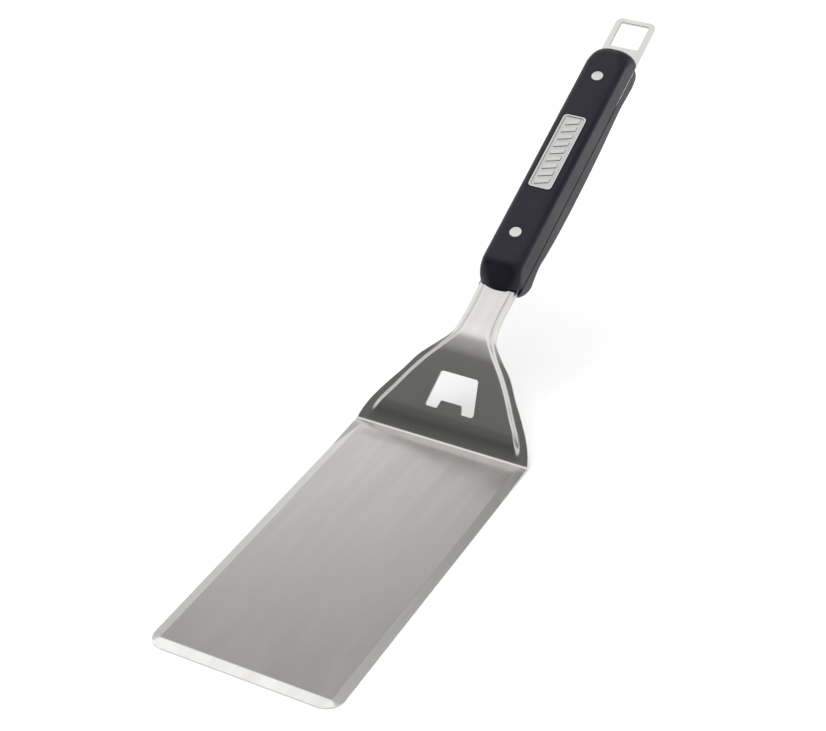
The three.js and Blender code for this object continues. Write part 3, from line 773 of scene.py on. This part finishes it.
def rivet(name, s, depth, material):
    head = HANDLE_TOP - RIVET_HEAD_THICKNESS
    post = [(RIVET_POST_RADIUS, RIVET_POST_END), (RIVET_POST_RADIUS, head), (RIVET_HEAD_RADIUS, head)]
    post += rounded_rim(RIVET_HEAD_RADIUS, HANDLE_TOP, 1)
    mesh = turned("post", s, post)
    piece(f"{name}_rivet_upper_half", mesh, material, "rivet_steel", f"{name}_rivet_post")
    low = RIVET_HEAD_THICKNESS - depth
    sleeve = list(reversed(rounded_rim(RIVET_HEAD_RADIUS, -depth, -1)))
    sleeve += [(RIVET_HEAD_RADIUS, low), (RIVET_SLEEVE_RADIUS, low), (RIVET_SLEEVE_RADIUS, RIVET_SLEEVE_END)]
    sleeve += [(RIVET_SLEEVE_BORE, RIVET_SLEEVE_END), (RIVET_SLEEVE_BORE, low)]
    mesh = turned("sleeve", s, sleeve)
    piece(f"{name}_rivet_lower_half", mesh, material, "rivet_steel", f"{name}_rivet_sleeve")


def bar_outline(s):
    """A slanted bar of the badge's pattern, centred on s."""
    end = BAR_WIDTH / 2
    corners = [(BAR_HALF, s - end + BAR_SLANT), (BAR_HALF, s + end + BAR_SLANT)]
    corners += [(-BAR_HALF, s + end - BAR_SLANT), (-BAR_HALF, s - end - BAR_SLANT)]
    return rounded_outline([(x, y, BAR_CORNER) for x, y in corners], BAR_CORNER_STEPS)


def badge(face, panel_material):
    """The badge: a plate with a sunk panel, and a row of slanted bars that rise from the panel."""
    top = HANDLE_TOP + BADGE_PROUD
    base, panel = top - BADGE_THICKNESS, top - PANEL_DEPTH
    turns = evenly(0, math.pi / 2, SMALL_ROUND_STEPS)
    edge = [(top - BADGE_CHAMFER * (1 - math.sin(a)), -BADGE_CHAMFER * (1 - math.cos(a))) for a in turns]
    plate = prism("plate", rounded_rectangle(**BADGE, steps=BADGE_CORNER_STEPS), [(base, 0), *edge])
    sunk = [(panel, 0), (top + CLEAR, CLEAR + PANEL_DEPTH)]
    window = prism("window", rounded_rectangle(**BADGE, inset=PANEL_INSET, steps=BADGE_CORNER_STEPS), sunk)
    first = BADGE["front"] + PANEL_INSET + BAR_MARGIN
    last = BADGE["rear"] - PANEL_INSET - BAR_MARGIN
    bar = [(panel - BAR_ROOT, 0), (top - BAR_CHAMFER, 0), (top, -BAR_CHAMFER)]
    bars = [prism("bar", bar_outline(s), bar) for s in evenly(first, last, BAR_COUNT - 1)]
    mesh = shape_with(shape_with(plate, [window]), bars, "UNION")
    made = piece("embossed_badge", mesh, face, "badge_metal", "badge_plate")
    mesh.materials.append(panel_material)
    floor_point = on_sheet(0, first, panel) * MM
    normal = Vector((0, -math.sin(TANG_SLOPE), math.cos(TANG_SLOPE)))
    for polygon in mesh.polygons:
        if abs((polygon.center - floor_point).dot(normal)) < PANEL_TOLERANCE * MM and polygon.normal.dot(normal) > 0.9:
            polygon.material_index = 1
    return made


# ---- materials ----


def shader_tree(owner):
    """The emptied node tree of a material or of the world."""
    owner.use_nodes = True
    tree = owner.node_tree
    tree.nodes.clear()
    return tree


def add(tree, kind, inputs=None, **settings):
    """A new node, with its inputs linked to sockets or set to values."""
    made = tree.nodes.new(kind)
    for key, value in settings.items():
        setattr(made, key, value)
    for key, value in (inputs or {}).items():
        socket = made.inputs[key]
        if isinstance(value, bpy.types.NodeSocket):
            tree.links.new(value, socket)
        else:
            socket.default_value = value
    return made


def noise(tree, sizes, detail=2.0, roughness=0.5):
    """Noise from 0 to 1 whose features have these sizes along X, Y and Z, in millimetres."""
    place = add(tree, "ShaderNodeTexCoord").outputs["Object"]
    scale = [1 / (size * MM) for size in sizes]
    mapped = add(tree, "ShaderNodeMapping", {"Vector": place, "Scale": scale}).outputs["Vector"]
    inputs = {"Vector": mapped, "Scale": 1.0, "Detail": detail, "Roughness": roughness}
    return add(tree, "ShaderNodeTexNoise", inputs).outputs["Fac"]


def remap(tree, value, low, high, to_low, to_high):
    """The value carried from one range to another, and held inside it."""
    inputs = {"Value": value, "From Min": low, "From Max": high, "To Min": to_low, "To Max": to_high}
    return add(tree, "ShaderNodeMapRange", inputs).outputs["Result"]


def maths(tree, operation, a, b):
    made = add(tree, "ShaderNodeMath", operation=operation)
    for socket, value in zip(made.inputs, (a, b)):
        if isinstance(value, bpy.types.NodeSocket):
            tree.links.new(value, socket)
        else:
            socket.default_value = value
    return made.outputs[0]


def blend(tree, share, a, b):
    """Colour a with a share of colour b."""
    made = add(tree, "ShaderNodeMix", {"Factor": share}, data_type="RGBA")
    for socket, value in ((made.inputs[6], a), (made.inputs[7], b)):
        if isinstance(value, bpy.types.NodeSocket):
            tree.links.new(value, socket)
        else:
            socket.default_value = (*value, 1)
    return made.outputs[2]


def wear_and_highlight_mask(tree, patch):
    """Wear of the mesh, and on the scales a painted highlight along the long edges, broken up by noise."""
    worn_and_lit = add(tree, "ShaderNodeAttribute", attribute_name="wear_and_highlight").outputs["Fac"]
    return maths(tree, "MULTIPLY", worn_and_lit, remap(tree, patch, 0.35, 0.65, 0.15, 1.0))


def finish_shader(tree, colour, roughness, height, bump, constants):
    """The surface itself; bump is the strength of its relief and how deep that is, in millimetres."""
    bumped = add(tree, "ShaderNodeBump", {"Strength": bump[0], "Distance": bump[1] * MM, "Height": height})
    inputs = {"Base Color": colour, "Roughness": roughness, "Normal": bumped.outputs["Normal"], **constants}
    surface = add(tree, "ShaderNodeBsdfPrincipled", inputs)
    add(tree, "ShaderNodeOutputMaterial", {"Surface": surface.outputs["BSDF"]})


# Pale steel colour painted on the bevels as a highlight, and the duller steel of handled patches
BEVEL_HIGHLIGHT_STEEL = (0.8, 0.795, 0.78)
DULLED_STEEL = (0.56, 0.545, 0.515)


def brushed_steel(name, dark, light, roughness, grain=0.16, reach=28.0):
    """Steel brushed along its length, with soft streaks, cloudy patches, edges made brighter by use, and a painted
    highlight on its bevels.
    """
    material = bpy.data.materials.new(name)
    tree = shader_tree(material)
    fine = noise(tree, (grain, reach, reach), 4, 0.6)
    streaks = noise(tree, (8.0, 130.0, 130.0), 3, 0.55)
    clouds = noise(tree, (38.0, 55.0, 55.0), 3, 0.5)
    handled = noise(tree, (11.0, 60.0, 32.0), 3, 0.55)
    tone = maths(tree, "ADD", maths(tree, "MULTIPLY", streaks, 0.6), maths(tree, "MULTIPLY", clouds, 0.4))
    tone = remap(tree, tone, 0.35, 0.65, 0.0, 1.0)
    worn_and_lit = wear_and_highlight_mask(tree, clouds)
    # Painted highlight: the bevels are lightened towards a pale steel colour that stands in for their reflection
    bevel_highlight = add(tree, "ShaderNodeAttribute", attribute_name="bevel_highlight").outputs["Fac"]
    colour = blend(tree, tone, dark, light)
    colour = blend(tree, maths(tree, "MULTIPLY", bevel_highlight, remap(tree, fine, 0.3, 0.7, 0.9, 1.0)), colour, BEVEL_HIGHLIGHT_STEEL)
    colour = blend(tree, remap(tree, fine, 0.3, 0.7, 0.0, 0.08), colour, [c * 0.8 for c in dark])
    colour = blend(tree, remap(tree, handled, 0.35, 0.7, 0.0, 0.3), colour, DULLED_STEEL)
    colour = blend(tree, maths(tree, "MULTIPLY", worn_and_lit, 0.35), colour, [min(c * 1.15, 1) for c in light])
    rough = maths(tree, "ADD", remap(tree, fine, 0.3, 0.7, -0.03, 0.03), remap(tree, tone, 0, 1, 0.013, -0.013))
    rough = maths(tree, "ADD", rough, maths(tree, "MULTIPLY", worn_and_lit, -0.05))
    rough = maths(tree, "ADD", rough, remap(tree, handled, 0.35, 0.65, -0.018, 0.018))
    rough = maths(tree, "ADD", rough, roughness)
    finish_shader(tree, colour, rough, fine, (0.06, 0.01), {"Metallic": 1.0})
    return material


SHEEN_TINT = (0.9, 0.88, 1.0, 1.0)


def satin_plastic(name, dark, light, roughness):
    """Moulded black plastic with a fine grain, cloudy sheen and slightly greyed long edges, greyed partly by rubbing
    and partly by a painted highlight.
    """
    material = bpy.data.materials.new(name)
    tree = shader_tree(material)
    pebble = noise(tree, (0.8, 0.8, 0.8), 3, 0.6)
    clouds = noise(tree, (9.0, 26.0, 26.0), 3, 0.5)
    edge_breakup = noise(tree, (1.1, 12.0, 12.0), 4, 0.6)
    worn_and_lit = wear_and_highlight_mask(tree, edge_breakup)
    colour = blend(tree, remap(tree, clouds, 0.35, 0.65, 0, 1), dark, light)
    colour = blend(tree, remap(tree, pebble, 0.4, 0.7, 0, 0.35), colour, [c * 1.5 for c in light])
    # Painted highlight, with some rubbing: the scales' long edges are lightened as their reflection would show
    colour = blend(tree, maths(tree, "MULTIPLY", worn_and_lit, 0.45), colour, [c * 2.8 for c in light])
    rough = maths(tree, "ADD", remap(tree, clouds, 0.35, 0.65, -0.03, 0.03), remap(tree, pebble, 0.3, 0.7, -0.03, 0.04))
    rough = maths(tree, "ADD", rough, maths(tree, "MULTIPLY", worn_and_lit, 0.04))
    rough = maths(tree, "ADD", rough, roughness)
    finish_shader(tree, colour, rough, pebble, (0.7, 0.07), {"Specular IOR Level": 0.28, "Specular Tint": SHEEN_TINT})
    return material


def blasted_metal(name, dark, light, roughness, size):
    """Frosted metal, as in the sunk panel of the badge."""
    material = bpy.data.materials.new(name)
    tree = shader_tree(material)
    grit = noise(tree, (size, size, size), 3, 0.6)
    clouds = noise(tree, (4.0, 9.0, 9.0), 2, 0.5)
    colour = blend(tree, remap(tree, grit, 0.35, 0.65, 0, 1), dark, light)
    rough = remap(tree, clouds, 0.3, 0.7, roughness - 0.04, roughness + 0.04)
    finish_shader(tree, colour, rough, grit, (0.35, 0.03), {"Metallic": 1.0})
    return material


def foam(name):
    """Dull black foam or felt with fine cells."""
    material = bpy.data.materials.new(name)
    tree = shader_tree(material)
    cells = noise(tree, (0.25, 0.25, 0.25), 3, 0.6)
    colour = blend(tree, cells, (0.006, 0.006, 0.006), (0.03, 0.03, 0.032))
    rough = remap(tree, cells, 0.3, 0.7, 0.8, 0.95)
    finish_shader(tree, colour, rough, cells, (0.6, 0.1), {})
    return material


def pale_floor(name):
    """A white studio floor, very faintly uneven."""
    material = bpy.data.materials.new(name)
    tree = shader_tree(material)
    clouds = noise(tree, (400.0, 400.0, 400.0), 2, 0.5)
    colour = blend(tree, clouds, (0.9, 0.9, 0.9), (0.92, 0.92, 0.92))
    finish_shader(tree, colour, 0.9, clouds, (0.0, 1.0), {"Specular IOR Level": 0.0})
    return material


# ---- camera, studio and floor ----


def photo_camera():
    """The camera, turned about its target and rolled a little to the photo's angle."""
    az, el, roll = CAMERA_AZIMUTH, CAMERA_ELEVATION, CAMERA_ROLL
    back = Vector((math.sin(az) * math.cos(el), -math.cos(az) * math.cos(el), math.sin(el)))
    level = (-back).cross(Vector((0, 0, 1))).normalized()
    upright = back.cross(level)
    right = level * math.cos(roll) + upright * math.sin(roll)
    up = upright * math.cos(roll) - level * math.sin(roll)
    camera = bpy.data.objects.new("camera", bpy.data.cameras.new("camera"))
    bpy.context.scene.collection.objects.link(camera)
    camera.data.lens = CAMERA_LENS
    camera.data.clip_start = 0.01
    camera.data.clip_end = 100
    axes = Matrix((right, up, back)).transposed().to_4x4()
    place = (CAMERA_TARGET + back * CAMERA_DISTANCE) * MM
    camera.matrix_world = Matrix.Translation(place) @ axes
    bpy.context.scene.camera = camera


# Brightness of the studio round the object, and the bright and dark areas in it: each one's direction, the
# angles from it where the area is full and where it ends, and its brightness.
STUDIO_LEVEL = 0.34
STUDIO_AREAS = [
    ("left_wall", (-0.92, 0.1, 0.28), 20, 43, 1.0),
    ("dark_side", (-0.25, -0.85, 0.38), 34, 66, 0.14),
    ("high_near_side", (-0.38, -0.35, 0.86), 5, 25, 0.5),
    ("far_wall", (-0.49, 0.75, 0.44), 6, 16.5, 1.22),
    ("high_far_wall", (-0.14, 0.55, 0.82), 6, 14, 0.66),
    ("side_panel", (0.3, -0.72, 0.62), 12, 21, 1.0),
]
SOFTBOX = {"place": (-0.3, 0.28, 3.0), "size": (6.0, 2.64), "brightness": 0.86}
FILL = {"place": (0.0, 0.0, 2.4), "size": (4.0, 4.0), "brightness": 1.3}
DARK_CARD = {"half": 0.6, "y": -0.3, "top": 0.1}


def studio_world():
    world = bpy.data.worlds.new("studio")
    bpy.context.scene.world = world
    tree = shader_tree(world)
    direction = add(tree, "ShaderNodeTexCoord").outputs["Generated"]
    colour = None
    for _, axis, full, end, level in STUDIO_AREAS:
        facing = add(tree, "ShaderNodeVectorMath", {0: direction}, operation="DOT_PRODUCT")
        facing.inputs[1].default_value = Vector(axis).normalized()
        reach = {"From Min": math.cos(math.radians(end)), "From Max": math.cos(math.radians(full))}
        inputs = {"Value": facing.outputs["Value"], **reach}
        share = add(tree, "ShaderNodeMapRange", inputs, interpolation_type="SMOOTHSTEP").outputs["Result"]
        colour = blend(tree, share, colour or (STUDIO_LEVEL,) * 3, (level,) * 3)
    light = add(tree, "ShaderNodeBackground", {"Color": colour})
    add(tree, "ShaderNodeOutputWorld", {"Surface": light.outputs["Background"]})


def area_light(name, place, size, brightness):
    """A soft panel over the object that shines down with this brightness."""
    light = bpy.data.lights.new(name, "AREA")
    light.shape = "RECTANGLE"
    light.size, light.size_y = size
    light.energy = brightness * math.pi * size[0] * size[1]
    made = bpy.data.objects.new(name, light)
    bpy.context.scene.collection.objects.link(made)
    made.location = place
    return made


def studio():
    studio_world()
    area_light("softbox", **SOFTBOX).visible_camera = False
    fill = area_light("fill", **FILL)
    fill.visible_camera = False
    fill.visible_glossy = False


def dark_card():
    """A black card that stands in front of the object and shows only in reflections."""
    half, y, top = DARK_CARD["half"], DARK_CARD["y"], DARK_CARD["top"]
    corners = [(-half, y, 0), (half, y, 0), (half, y, top), (-half, y, top)]
    mesh = mesh_from("dark_card", corners, [(0, 1, 2, 3)])
    mesh.materials.append(foam("black_felt"))
    made = link("dark_card", mesh)
    made.visible_camera = made.visible_diffuse = made.visible_shadow = False


def floor():
    turns = [2 * math.pi * i / FLOOR_SEGMENTS for i in range(FLOOR_SEGMENTS)]
    rim = [(FLOOR_RADIUS * math.cos(a), FLOOR_RADIUS * math.sin(a), 0) for a in turns]
    mesh = mesh_from("floor", rim, [tuple(range(FLOOR_SEGMENTS))])
    mesh.materials.append(pale_floor("pale_floor"))
    made = link("floor", mesh)
    made.location.z = CAD_BOX[0].z


def build():
    photo_camera()
    studio()
    floor()
    dark_card()
    bpy.context.scene.view_settings.view_transform = "Standard"
    steel = brushed_steel("brushed_stainless", (0.60, 0.592, 0.57), (0.645, 0.637, 0.615), 0.21)
    plastic = satin_plastic("satin_black_plastic", (0.005, 0.005, 0.0095), (0.0085, 0.0085, 0.014), 0.4)
    blade_and_tang(steel)
    upper_scale(plastic)
    lower_scale(plastic)
    rivet_steel = brushed_steel("rivet_steel", (0.58, 0.575, 0.565), (0.64, 0.635, 0.625), 0.3, 0.08, 3.0)
    for name, s, depth in RIVETS:
        rivet(name, s, depth, rivet_steel)
    face = blasted_metal("badge_face", (0.55, 0.55, 0.54), (0.6, 0.6, 0.59), 0.34, 0.22)
    panel = blasted_metal("badge_panel", (0.52, 0.52, 0.512), (0.58, 0.58, 0.57), 0.4, 0.3)
    badge(face, panel)
    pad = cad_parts["badge_adhesive_pad"]
    pad.data.materials.clear()
    pad.data.materials.append(foam("adhesive_foam"))


build()
